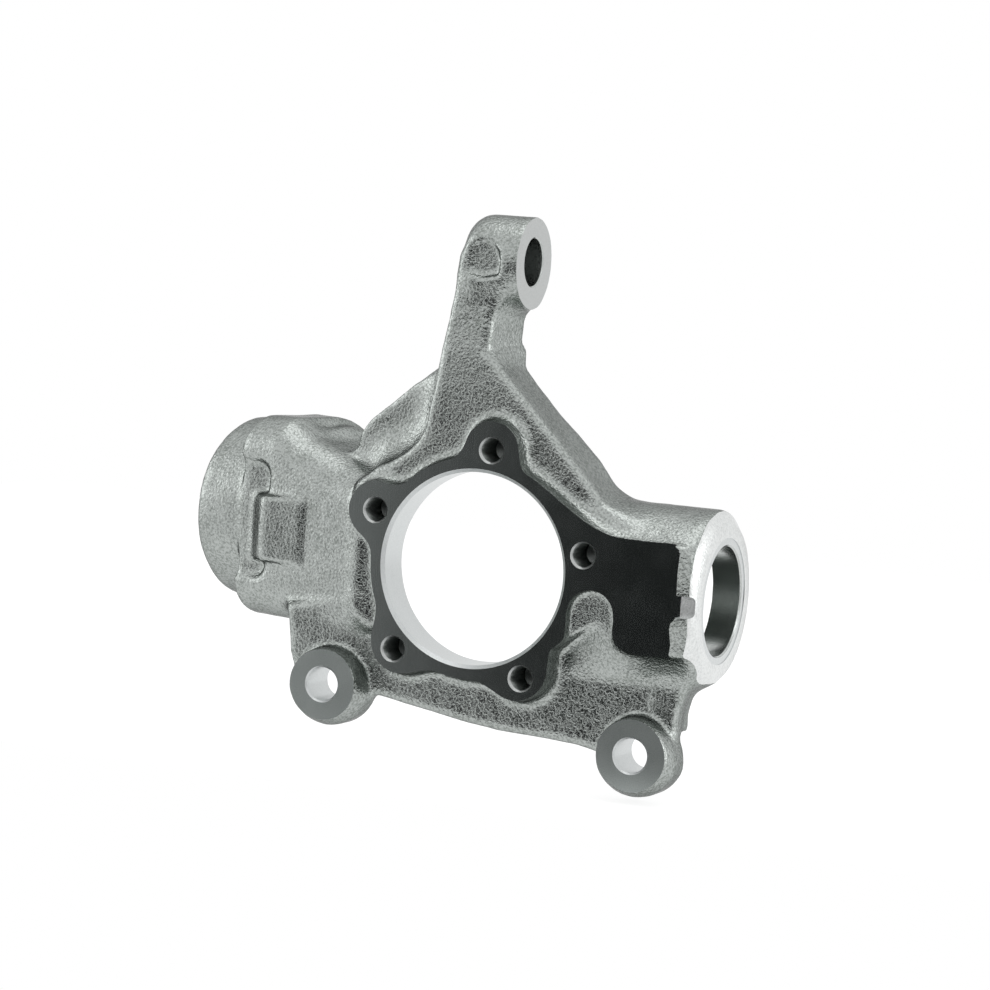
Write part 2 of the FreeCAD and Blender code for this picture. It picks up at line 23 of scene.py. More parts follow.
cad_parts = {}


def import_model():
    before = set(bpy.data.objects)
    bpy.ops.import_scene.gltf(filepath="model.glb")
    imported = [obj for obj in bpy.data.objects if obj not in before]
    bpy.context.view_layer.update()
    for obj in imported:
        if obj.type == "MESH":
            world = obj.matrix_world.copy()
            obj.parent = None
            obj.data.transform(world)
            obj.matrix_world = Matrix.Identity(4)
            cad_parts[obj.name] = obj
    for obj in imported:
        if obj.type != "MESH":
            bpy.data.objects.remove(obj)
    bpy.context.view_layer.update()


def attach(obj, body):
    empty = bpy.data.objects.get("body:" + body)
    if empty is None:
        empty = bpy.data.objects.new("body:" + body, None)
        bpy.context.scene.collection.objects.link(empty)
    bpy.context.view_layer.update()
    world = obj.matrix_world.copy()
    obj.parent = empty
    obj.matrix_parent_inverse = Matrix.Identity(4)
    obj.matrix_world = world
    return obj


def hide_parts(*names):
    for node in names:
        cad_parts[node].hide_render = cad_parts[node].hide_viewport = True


MM = 0.001
LOG = logging.getLogger("knuckle")

Grid = np.ndarray
Point = tuple[float, float, float]
Flat = tuple[float, float]
Distance = Callable[[Grid, Grid, Grid], Grid]


# Signed distances


def meet(a: Grid, b: Grid, radius: float) -> Grid:
    """Where two bodies overlap, with the edge between them rounded.

    Args:
        a: Distance to the first body.
        b: Distance to the second body.
        radius: Radius of the outer edge.

    Returns:
        Distance to what they share.
    """
    u, v = np.maximum(radius + a, 0), np.maximum(radius + b, 0)
    return np.minimum(-radius, np.maximum(a, b)) + np.sqrt(u * u + v * v)


def join(a: Grid, b: Grid, radius: float) -> Grid:
    """Two bodies grown together, with a fillet between them.

    Args:
        a: Distance to the first body.
        b: Distance to the second body.
        radius: Radius of the fillet.

    Returns:
        Distance to both together.
    """
    return -meet(-a, -b, radius)


def slab(t: Grid, low: float | Grid, high: float | Grid) -> Grid:
    """Distance to the layer between two parallel planes."""
    return np.maximum(low - t, t - high)


def disc(x: Grid, z: Grid, middle: Flat, radius: float) -> Grid:
    """Distance to a round outline."""
    return np.hypot(x - middle[0], z - middle[1]) - radius


def block(x: Grid, z: Grid, low: Flat, high: Flat, corner: float) -> Grid:
    """Distance to a rectangle with rounded corners.

    Args:
        x: First coordinate.
        z: Second coordinate.
        low: Lowest corner.
        high: Highest corner.
        corner: Radius of the corners.

    Returns:
        Distance in the plane.
    """
    qx = np.abs(x - (low[0] + high[0]) / 2) - (high[0] - low[0]) / 2 + corner
    qz = np.abs(z - (low[1] + high[1]) / 2) - (high[1] - low[1]) / 2 + corner
    outside = np.hypot(np.maximum(qx, 0), np.maximum(qz, 0))
    return outside + np.minimum(np.maximum(qx, qz), 0) - corner


def outline(x: Grid, z: Grid, corners: Sequence[tuple[Grid | float, Grid | float]]) -> Grid:
    """Distance to a closed outline of straight runs.

    Args:
        x: First coordinate.
        z: Second coordinate.
        corners: Corners in order; each coordinate may itself change over the grid.

    Returns:
        Distance in the plane, below zero inside.
    """
    nearest: Grid | None = None
    inside: Grid | None = None
    for (ax, az), (bx, bz) in zip(corners, [*corners[1:], corners[0]]):
        ex, ez = bx - ax, bz - az
        wx, wz = x - ax, z - az
        along = np.clip((wx * ex + wz * ez) / (ex * ex + ez * ez), 0, 1)
        gap = (wx - ex * along) ** 2 + (wz - ez * along) ** 2
        crosses = ((az <= z) != (bz <= z)) & ((wx * ez < ex * wz) == (ez > 0))
        nearest = gap if nearest is None else np.minimum(nearest, gap)
        inside = crosses if inside is None else inside ^ crosses
    return np.where(inside, -1.0, 1.0) * np.sqrt(nearest)


@dataclass
class Mould:
    """Grid of signed distances in which the casting is built up, in millimetres."""

    low: Point = (-168.0, -14.0, -104.0)
    high: Point = (118.0, 128.0, 170.0)
    step: float = 1.27
    axes: list[Grid] = field(default_factory=list)
    depth: Grid = field(default_factory=lambda: np.zeros(0))

    def __post_init__(self) -> None:
        """Lays out the grid, empty."""
        self.axes = [np.arange(low, high, self.step, dtype=np.float32)
                     for low, high in zip(self.low, self.high)]
        self.depth = np.full([len(axis) for axis in self.axes], 30.0, np.float32)

    def window(self, low: Point, high: Point) -> tuple[tuple[slice, ...], tuple[Grid, ...]]:
        """The part of the grid between two corners.

        Args:
            low: Lowest corner.
            high: Highest corner.

        Returns:
            Slices of the grid, and its coordinates shaped so that they combine.
        """
        cuts, coordinates = [], []
        for number, axis in enumerate(self.axes):
            start, end = np.searchsorted(axis, (low[number], high[number]))
            cuts.append(slice(int(start), int(end)))
            shape = [1, 1, 1]
            shape[number] = -1
            coordinates.append(axis[start:end].reshape(shape))
        return tuple(cuts), tuple(coordinates)

    def add(self, body: Distance, low: Point, high: Point, radius: float | Distance) -> None:
        """Grows a body onto the casting with a fillet.

        Args:
            body: Distance to the body.
            low: Lowest corner of the space that it changes.
            high: Highest corner of that space.
            radius: Radius of the fillet, or how it changes over the space.
        """
        cuts, place = self.window(low, high)
        fillet = radius(*place) if callable(radius) else radius
        self.depth[cuts] = join(self.depth[cuts], body(*place), fillet)

    def take(self, body: Distance, low: Point, high: Point, radius: float) -> None:
        """Takes a body out of the casting and rounds the edge that is left.

        Args:
            body: Distance to the body.
            low: Lowest corner of the space that it changes.
            high: Highest corner of that space.
            radius: Radius of the edge.
        """
        cuts, place = self.window(low, high)
        self.depth[cuts] = meet(self.depth[cuts], -body(*place), radius)

    def trim(self, body: Distance, low: Point, high: Point, radius: float) -> None:
        """Keeps only what lies in a body.

        Args:
            body: Distance to what is kept.
            low: Lowest corner of the space that it changes.
            high: Highest corner of that space.
            radius: Radius of the edge.
        """
        cuts, place = self.window(low, high)
        self.depth[cuts] = meet(self.depth[cuts], body(*place), radius)

    def soften(self, rounds: int) -> None:
        """Evens the grid out, which takes the sharpness off every edge and corner."""
        for _ in range(rounds):
            for number in range(3):
                ahead = np.roll(self.depth, -1, number)
                behind = np.roll(self.depth, 1, number)
                self.depth = (0.25 * ahead + 0.5 * self.depth + 0.25 * behind).astype(np.float32)

    def sample(self, values: Grid, at: Grid) -> Grid:
        """Values of a grid between its points.

        Args:
            values: Grid of the mould's shape.
            at: Places, in grid steps.

        Returns:
            One value for each place.
        """
        base = np.clip(np.floor(at).astype(int), 0, np.array(values.shape) - 2)
        part = at - base
        total = np.zeros(len(at))
        for corner in np.ndindex(2, 2, 2):
            weight = np.prod(np.where(corner, part, 1 - part), axis=1)
            total += weight * values[tuple((base + corner).T)]
        return total

    def skin(self) -> tuple[Grid, Grid]:
        """The casting's surface as four-sided faces.

        Returns:
            Points in millimetres, and the four point numbers of each face.
        """
        depth = self.depth
        full = depth < 0
        size = np.array(depth.shape) - 1
        count = np.zeros(size, np.uint8)
        for corner in np.ndindex(2, 2, 2):
            count += full[tuple(slice(c, c + s) for c, s in zip(corner, size))]
        active = (count > 0) & (count < 8)
        cells = np.argwhere(active)
        number = np.full(size, -1)
        number[active] = np.arange(len(cells))
        total, hits = np.zeros((len(cells), 3)), np.zeros(len(cells))
        for start in np.ndindex(2, 2, 2):
            for way in range(3):
                if start[way]:
                    continue
                step = np.eye(3, dtype=int)[way]
                a = depth[tuple((cells + start).T)]
                b = depth[tuple((cells + start + step).T)]
                crossed = (a < 0) != (b < 0)
                share = np.where(crossed, a / np.where(a == b, 1, a - b), 0)
                place = cells + start + share[:, None] * step
                total[crossed] += place[crossed]
                hits += crossed
        at = total / hits[:, None]
        slopes = np.gradient(depth)
        for _ in range(2):
            slope = np.stack([self.sample(part, at) for part in slopes], axis=1)
            reach = self.sample(depth, at) / np.maximum((slope ** 2).sum(axis=1), 0.05)
            at -= np.clip(reach[:, None] * slope, -0.4, 0.4)
        faces = []
        for way in range(3):
            one, two = (way + 1) % 3, (way + 2) % 3
            ahead = np.eye(3, dtype=int)[way]
            inner = [slice(1, s) for s in size]
            inner[way] = slice(0, size[way])
            here = full[tuple(inner)]
            there = full[tuple(slice(s.start + o, s.stop + o) for s, o in zip(inner, ahead))]
            for flips in (False, True):
                edges = np.argwhere(here & ~there if flips else ~here & there)
                edges[:, one] += 1
                edges[:, two] += 1
                corners = []
                for back_one, back_two in ((0, 0), (1, 0), (1, 1), (0, 1)):
                    cell = edges.copy()
                    cell[:, one] -= back_one
                    cell[:, two] -= back_two
                    corners.append(number[tuple(cell.T)])
                quads = np.stack(corners, axis=1)
                faces.append(quads if flips else quads[:, ::-1])
        origin = np.array([axis[0] for axis in self.axes])
        return at * self.step + origin, np.concatenate(faces)


# Meshes


class Finish(Enum):
    """What made each surface of the knuckle; the ground end is also made lighter, as painted light."""

    CAST = "cast_skin"
    MILLED = "milled_face"
    SPOT_FACED = "spot_faced_lug"
    TURNED = "turned_face"
    # The ground end's grey is partly its finish and partly painted light: it is much lighter than the other
    # cut faces, standing in for the stronger light on the lower joint's right-facing end.
    GROUND = "ground_end_painted_light"
    BORED = "bored_wall"
    BRIGHT = "bright_bore"
    THREADED = "tapped_thread"


def mesh_object(name: str, points: Grid, faces: Sequence[Sequence[int]], finish: Finish) -> bpy.types.Object:
    """A mesh in the scene, from millimetres.

    Args:
        name: Name of the object.
        points: Points in millimetres.
        faces: Point numbers of each face.
        finish: The one finish of its faces.

    Returns:
        The object.
    """
    mesh = bpy.data.meshes.new(name)
    mesh.from_pydata((np.asarray(points) * MM).tolist(), [], np.asarray(faces).tolist()
                     if isinstance(faces, np.ndarray) else [list(face) for face in faces])
    mesh.materials.append(bpy.data.materials[finish.value])
    mesh.update()
    thing = bpy.data.objects.new(name, mesh)
    bpy.context.scene.collection.objects.link(thing)
    return thing


def turned(name: str, profile: Sequence[Flat], foot: Point, along: Point, finish: Finish,
           segments: int = 160) -> bpy.types.Object:
    """A closed body of revolution.

    Args:
        name: Name of the object.
        profile: Pairs of height along the axis and radius, from one pole to the other.
        foot: Where the height is nought.
        along: Direction of the axis.
        finish: The finish that it leaves.
        segments: How many steps round.

    Returns:
        The object.
    """
    turn = Vector(along).to_track_quat("Z", "Y").to_matrix()
    points: list[Sequence[float]] = []
    rings: list[list[int]] = []
    for height, radius in profile:
        ring = []
        for index in range(segments if radius > 0 else 1):
            angle = math.tau * index / segments
            spot = turn @ Vector((radius * math.cos(angle), radius * math.sin(angle), height))
            ring.append(len(points))
            points.append(tuple(spot + Vector(foot)))
        rings.append(ring)
    faces: list[list[int]] = []
    for low, high in zip(rings, rings[1:]):
        for index in range(segments):
            after = (index + 1) % segments
            if len(low) == 1:
                faces.append([low[0], high[after], high[index]])
            elif len(high) == 1:
                faces.append([low[index], low[after], high[0]])
            else:
                faces.append([low[index], low[after], high[after], high[index]])
    return mesh_object(name, np.array(points), faces, finish)


def prism(name: str, corners: Sequence[Flat], low: float, high: float, finish: Finish) -> bpy.types.Object:
    """A straight body on an outline in X and Z, between two depths in Y.

    Args:
        name: Name of the object.
        corners: Corners of the outline, in X and Z, turning from X to Z.
        low: Depth of its outboard end.
        high: Depth of its inboard end.
        finish: The finish that it leaves.

    Returns:
        The object.
    """
    count = len(corners)
    points = [(x, y, z) for y in (low, high) for x, z in corners]
    faces = [list(range(count)), list(range(2 * count - 1, count - 1, -1))]
    faces += [[i, i + count, (i + 1) % count + count, (i + 1) % count] for i in range(count)]
    return mesh_object(name, np.array(points), faces, finish)


def joined(name: str, parts: Sequence[bpy.types.Object]) -> bpy.types.Object:
    """Several objects made into one, each keeping its material.

    Args:
        name: Name of the new object.
        parts: The objects, which are used up.

    Returns:
        The new object.
    """
    form = bmesh.new()
    mesh = bpy.data.meshes.new(name)
    for part in parts:
        for material in part.data.materials:
            if material.name not in mesh.materials:
                mesh.materials.append(material)
        places = [mesh.materials.find(material.name) for material in part.data.materials]
        first = len(form.faces)
        form.from_mesh(part.data)
        form.faces.ensure_lookup_table()
        for face in form.faces[first:]:
            face.material_index = places[face.material_index]
        bpy.data.objects.remove(part, do_unlink=True)
    form.to_mesh(mesh)
    form.free()
    thing = bpy.data.objects.new(name, mesh)
    bpy.context.scene.collection.objects.link(thing)
    return thing


def arc(middle: Flat, radius: float, start: float, end: float, steps: int) -> list[Flat]:
    """Points along an arc in X and Z, from one angle to another, in degrees."""
    angles = np.radians(np.linspace(start, end, steps + 1))
    return [(middle[0] + radius * math.cos(a), middle[1] + radius * math.sin(a)) for a in angles]


# The casting


@dataclass
class HubFlange:
    """The ring round the wheel bearing's bore, its bolt lobes and the arm to the lower joint."""

    bore: float = 43.9
    ring: float = 50.5
    back: float = 20.0
    bolt_circle: float = 54.5
    first_bolt: float = 12.28
    stock: float = 2.5
    draft: float = 0.14
    clearance: float = 54.0

    def bolts(self) -> list[Flat]:
        """Places of the five bearing bolts in X and Z, the arm's first."""
        angles = [math.radians(self.first_bolt + 72 * step) for step in range(5)]
        return [(self.bolt_circle * math.cos(a), self.bolt_circle * math.sin(a)) for a in angles]

    def face(self, x: Grid, z: Grid) -> Grid:
        """Outline of the milled face."""
        ring = disc(x, z, (0.0, 0.0), self.ring)
        shape = ring
        for index, (bolt_x, bolt_z) in enumerate(self.bolts()[1:]):
            low = index > 1
            share = 49.0 / self.bolt_circle if low else 1.0
            lobe = disc(x, z, (bolt_x * share, bolt_z * share), 15.0 if low else 13.3)
            shape = join(shape, lobe, 8.0)
        arm = block(x, z, (0.0, -14.5), (103.5, 20.4), 2.5)
        foot = block(x, z, (69.5, -28.9), (112.0, 8.0), 10.0)
        return join(np.minimum(join(ring, arm, 26.0), shape), foot, 0.6)

    def recess(self, x: Grid, z: Grid) -> Grid:
        """Outline of the finger-shaped recess beside the arm, open downwards."""
        return join(disc(x, z, (58.5, -14.5), 11.2), block(x, z, (47.3, -46.0), (69.7, -14.5), 0.5), 0.5)

    def body(self, x: Grid, y: Grid, z: Grid) -> Grid:
        """The whole flange with its milling stock."""
        return meet(self.face(x, z) - self.draft * np.maximum(y, 0), slab(y, -self.stock, self.back), 0.8)

    def cast(self, mould: Mould) -> None:
        """Casts the flange onto the webs."""
        mould.add(self.body, (-80, -8, -76), (116, 30, 82), 3.6)

    def relieve(self, mould: Mould) -> None:
        """Takes out the recess and the drive shaft's room."""
        mould.take(lambda x, y, z: meet(self.recess(x, z), slab(y, -40, 5.0), 2.5),
                   (38, -12, -60), (80, 12, 4), 1.2)
        mould.take(lambda x, y, z: meet(disc(x, z, (0.0, 0.0), self.clearance), slab(y, self.back, 140), 2.0),
                   (-60, 14, -60), (60, 128, 60), 1.6)


@dataclass
class Webs:
    """The steering arm with its flanks, the back rib, and the lower web with the caliper lugs."""

    front: float = 8.5
    back: float = 42.0
    low_front: float = 12.0
    low_back: float = 22.0
    lug_radius: float = 16.8
    lugs: tuple[Flat, Flat] = ((-70.8, -61.0), (82.8, -75.2))
    edges: tuple[tuple[float, float, float, float], ...] = (
        (-24.8, 112, -29.2, 112), (-23.2, 126, -25, 126), (-21, 139.7, -21, 139.7),
        (2.5, 139.7, 3, 139.7), (1.6, 128, 3.8, 128), (-3.6, 113, 1.4, 113), (-4.2, 98.6, 0.8, 103),
        (-2.4, 96.6, 3.6, 99.0), (1.6, 92.4, 3.6, 91.0), (8.9, 85.0, 9.8, 83.6), (19.5, 74.6, 21.8, 71.4),
        (29.6, 64.4, 33.6, 61.4), (40, 53.6, 43.6, 51.8), (48.3, 45.2, 51.2, 42.0), (58, 34.6, 60, 32.4),
        (74, 26, 74, 27), (74, 0, 74, 0), (0, 0, 0, 0),
        (-20, -34, -20, -34), (-55, -34, -55, -34), (-63, -24, -63, -24), (-65, -10, -65, -10),
        (-65.5, 12, -65.5, 12), (-65, 33, -65, 33), (-55, 40.8, -57, 42), (-48, 44, -50, 45),
        (-40.9, 49, -43, 50), (-35.6, 54.8, -37, 56), (-32.7, 60, -34, 62),
        (-30.3, 74, -33.6, 75), (-29.2, 80, -33.8, 81),
        (-27.5, 94, -32.8, 94), (-26.7, 99, -32.0, 99))

    def arm(self, x: Grid, y: Grid, z: Grid) -> Grid:
        """The steering arm and its two flanks, wider at the back."""
        share = np.clip((y - self.front) / (self.back - self.front), 0, 1)
        corners = [(near_x + (far_x - near_x) * share, near_z + (far_z - near_z) * share)
                   for near_x, near_z, far_x, far_z in self.edges]
        front = self.front + 0.00125 * np.maximum(z - 74.0, 0) ** 2
        return meet(outline(x, z, corners), slab(y, front, self.back), 3.0)

    def rib(self, x: Grid, y: Grid, z: Grid) -> Grid:
        """The rib behind the arm's left flank."""
        corners = [(-88, -20), (-88, 36), (-77.5, 47), (-76.5, 54), (-72, 60.5), (-59, 71.6), (-50.5, 79),
                   (-42, 82.6), (-28, 84), (-28, 40), (-50, 0), (-60, -20)]
        return meet(outline(x, z, corners), slab(y, 35.0, self.back), 1.6)

    def lower(self, x: Grid, y: Grid, z: Grid) -> Grid:
        """The web under the ring that carries the caliper lugs."""
        corners = [(-97.4, -28), (-94.8, -50), (-90.5, -61), (-71, -70), (-56, -67), (-48.8, -65), (-36, -67),
                   (-21, -69.3), (-3.6, -72.2), (14.5, -74.0), (35.3, -74.8), (51.6, -75.6), (62, -78),
                   (82.8, -83), (98.4, -74), (98.0, -58), (100.5, -48), (103.0, -40), (103.0, -26), (0, -8)]
        return meet(outline(x, z, corners), slab(y, self.low_front, self.low_back), 3.0)

    def side(self, x: Grid, y: Grid, z: Grid) -> Grid:
        """The thick side between the lower joint's boss and the right lug."""
        corners = [(86, -62), (98.4, -66), (98.0, -58), (100.0, -48), (101.6, -40), (102.0, -28), (86, -28)]
        return meet(outline(x, z, corners), slab(y, self.low_front, 33.0), 3.0)

    def lug(self, middle: Flat) -> Distance:
        """A caliper lug, tapered to its face and rounded at the back."""
        def body(x: Grid, y: Grid, z: Grid) -> Grid:
            swell = 3.0 * np.clip(y / 8.0, 0, 1) * np.clip(0.6 - (z - middle[1]) / 18.0, 0, 1)
            return meet(disc(x, z, middle, 0.0) - (self.lug_radius + swell), slab(y, -2.0, self.low_back), 3.5)
        return body

    def cast(self, mould: Mould) -> None:
        """Casts the webs and the lugs."""
        mould.add(self.arm, (-80, 0, -45), (90, 50, 150), 0.5)
        mould.add(self.rib, (-104, 8, -34), (-10, 50, 98), 19.0)
        mould.trim(lambda x, y, z: y - self.back + 0 * x * z, (-110, 20, -50), (90, 60, 150), 3.0)
        mould.add(self.lower, (-110, 4, -95), (116, 30, 10), 5.0)
        mould.add(self.side, (76, 4, -80), (114, 42, -10), 2.5)

    def cast_lugs(self, mould: Mould) -> None:
        """Casts the two lugs last, because their blends are tight."""
        for middle in self.lugs:
            x, z = middle
            mould.add(self.lug(middle), (x - 32, -8, z - 30), (x + 32, 34, z + 32), 2.0)


@dataclass
class SteeringEye:
    """The eye at the end of the steering arm."""

    depth: float = 29.0
    height: float = 139.7
    radius: float = 21.5
    face: float = 7.6
    length: float = 31.0
    bore: float = 11.0
    small_bore: float = 9.2

    def barrel(self, x: Grid, y: Grid, z: Grid) -> Grid:
        """The round body, with its milling stock."""
        round_side = np.hypot(y - self.depth, z - self.height + 0.6) - self.radius + 0.3
        left = self.face - self.length + 1.1 - x
        return np.maximum(meet(round_side, left, 10.5), x - self.face - 1.5)

    def arch(self, x: Grid, y: Grid, z: Grid) -> Grid:
        """The arched recess in its outboard side."""
        middle = -9.6
        legs = block(x, z, (middle - 8.5, 132.6), (middle + 8.5, 140), 2.0)
        shape = join(disc(x, z, (middle, 140.0), 8.5), legs, 0.4)
        return meet(shape, slab(y, -40, 12.0), 1.2)

    def cast(self, mould: Mould) -> None:
        """Casts the eye onto the arm and presses its recess in."""
        mould.add(self.barrel, (-40, 0, 106), (16, 60, 169), 7.0)
        mould.take(self.arch, (-24, -10, 118), (8, 20, 156), 1.4)


@dataclass
class JointBoss:
    """The boss of the lower joint, bored from the side and open inboard behind its seat."""

    depth: float = 33.0
    height: float = -5.3
    radius: float = 40.2
    end: float = 109.6
    bevel: float = 4.6
    face_radius: float = 35.0
    ring: float = 28.8
    start: float = 47.0
    bore: float = 24.9
    seat: float = 14.0

    def barrel(self, x: Grid, y: Grid, z: Grid) -> Grid:
        """The boss with its bevelled end and its milling stock."""
        out = np.hypot(y - self.depth, z - self.height - 0.8)
        drop = self.radius - self.face_radius
        over = (x - self.end - 1.0 + self.bevel) * drop + (out - self.radius) * self.bevel
        bevel = over / math.hypot(drop, self.bevel)
        side = meet(out - self.radius, bevel, 1.6)
        under = 22.7 * np.clip((-12.0 - z) / 3.0, 0, 1) + 0.09 * np.maximum(-19.0 - z, 0) ** 2
        start = self.start + under * np.clip((12.0 - y) / 10.0, 0, 1)
        return meet(side, slab(x, start, self.end + 1.0), 1.2)

    def pocket(self, x: Grid, y: Grid, z: Grid) -> Grid:
        """The cored pocket behind the seat, open inboard."""
        inner = self.bore + 0.8
        hollow = np.hypot(np.minimum(y - self.depth, 0), z - self.height) - inner
        return meet(hollow, slab(x, 60.0, self.end - self.seat), 3.0)

    def cast(self, mould: Mould) -> None:
        """Casts the boss onto the webs."""
        mould.add(self.barrel, (36, -14, -60), (117, 84, 50), 7.0)

    def core(self, mould: Mould) -> None:
        """Leaves the pocket out of the casting."""
        mould.take(self.pocket, (52, -4, -42), (104, 90, 34), 2.0)


@dataclass
class StrutSocket:
    """The leaning socket of the strut, with its root, collar, notch and pad."""

    start_x: float = -62.0
    start_y: float = 8.5
    height: float = 10.4
    lean: float = 13.0
    front: float = 46.0
    half: float = 47.8
    edge: float = 20.0
    root_half: float = 34.5
    root_drop: float = -8.3
    body_end: float = 60.0
    collar: float = 43.7
    end: float = 90.5
    bore: float = 28.0
    bore_depth: float = 50.0

    def frame(self) -> tuple[Vector, Vector, Vector]:
        """Foot of the axis, its direction, and the direction inboard across it."""
        lean = math.radians(self.lean)
        foot = Vector((self.start_x, self.start_y + self.front / math.cos(lean), self.height))
        return foot, Vector((-math.cos(lean), math.sin(lean), 0)), Vector((math.sin(lean), math.cos(lean), 0))

    def local(self, x: Grid, y: Grid, z: Grid) -> tuple[Grid, Grid, Grid]:
        """Distance along the axis, inboard across it, and up."""
        foot, along, across = self.frame()
        dx, dy = x - foot.x, y - foot.y
        return dx * along.x + dy * along.y, dx * across.x + dy * across.y, z - foot.z

    def body(self, x: Grid, y: Grid, z: Grid) -> Grid:
        """The body with its flat outboard face, narrowing to its root at the hub."""
        s, v, u = self.local(x, y, z)
        low = np.interp(s, (-5.0, 29.0), (self.root_drop - self.root_half, -self.half))
        front_top = np.interp(s, (-5.0, 31.0, 42.0), (self.root_drop + self.root_half, 39.0, self.half - 0.4))
        back_top = np.interp(s, (-5.0, 29.0, 35.0, 40.0, 41.5), (26.2, 38.3, 40.6, 42.8, self.half - 0.4))
        top = front_top + (back_top - front_top) * np.clip((v + 22.0) / 12.0, 0, 1)
        half, rise = (top - low) / 2, (top + low) / 2
        back = np.minimum(-12.9 + 0.745 * (s + 5), 12.0)
        middle, deep = (back - self.front) / 2, (back + self.front) / 2
        corner = np.minimum(np.where(v < middle, self.edge, 10.0), np.minimum(half, deep) - 1)
        qu, qv = np.abs(u - rise) - half + corner, np.abs(v - middle) - deep + corner
        around = np.hypot(np.maximum(qu, 0), np.maximum(qv, 0)) + np.minimum(np.maximum(qu, qv), 0) - corner
        nose = np.clip(6.0 + 1.348 * (s - 4.0), 1.0, self.half)
        nose = np.where(u > 0, np.minimum(nose, top), nose)
        round_back = (np.hypot(u, v) - nose) * np.where(s < 35.0, 0.6, 1.0)
        grown = join(around, round_back, np.clip((33.0 - s) * 0.4, 0.2, 7.0))
        return meet(grown, np.maximum(x + 59.0, s + 0.065 * v - self.body_end), 3.0)

    def barrel(self, x: Grid, y: Grid, z: Grid) -> Grid:
        """The collar beyond the body."""
        s, v, u = self.local(x, y, z)
        return meet(np.hypot(u, v) - self.collar, slab(s, 30.0, self.end), 5.0)

    def pad(self, x: Grid, y: Grid, z: Grid) -> Grid:
        """The raised pad on the body's face, sloping into the notch on its outer side."""
        slope = ((15.0 - y) * 9.4 + (-115.2 - x) * 11.0) / math.hypot(9.4, 11.0)
        face = meet(meet(np.maximum(x + 93.3, y - 40.0), slope, 2.0), 15.0 - y, 1.8)
        return meet(face, slab(z, -9.3, 21.5), 1.8)

    def notch(self, x: Grid, y: Grid, z: Grid) -> Grid:
        """The notch between the pad and the collar."""
        return meet(block(x, z, (-156.0, -18.0), (-115.6, 37.0), 6.5), slab(y, -40.0, 27.0), 3.0)

    def cast(self, mould: Mould) -> None:
        """Casts the socket onto the webs, then its notch and its pad."""
        mould.add(self.body, (-146, 0, -60), (-40, 120, 74),
                  lambda x, y, z: np.interp(z + 0 * x * y, (-30.0, -14.0), (9.0, 3.0)))
        mould.add(self.barrel, (-166, 0, -50), (-84, 126, 70), 2.5)
        mould.take(self.notch, (-160, -10, -30), (-110, 38, 46), 3.6)
        mould.add(self.pad, (-134, 6, -18), (-84, 40, 32), 2.4)


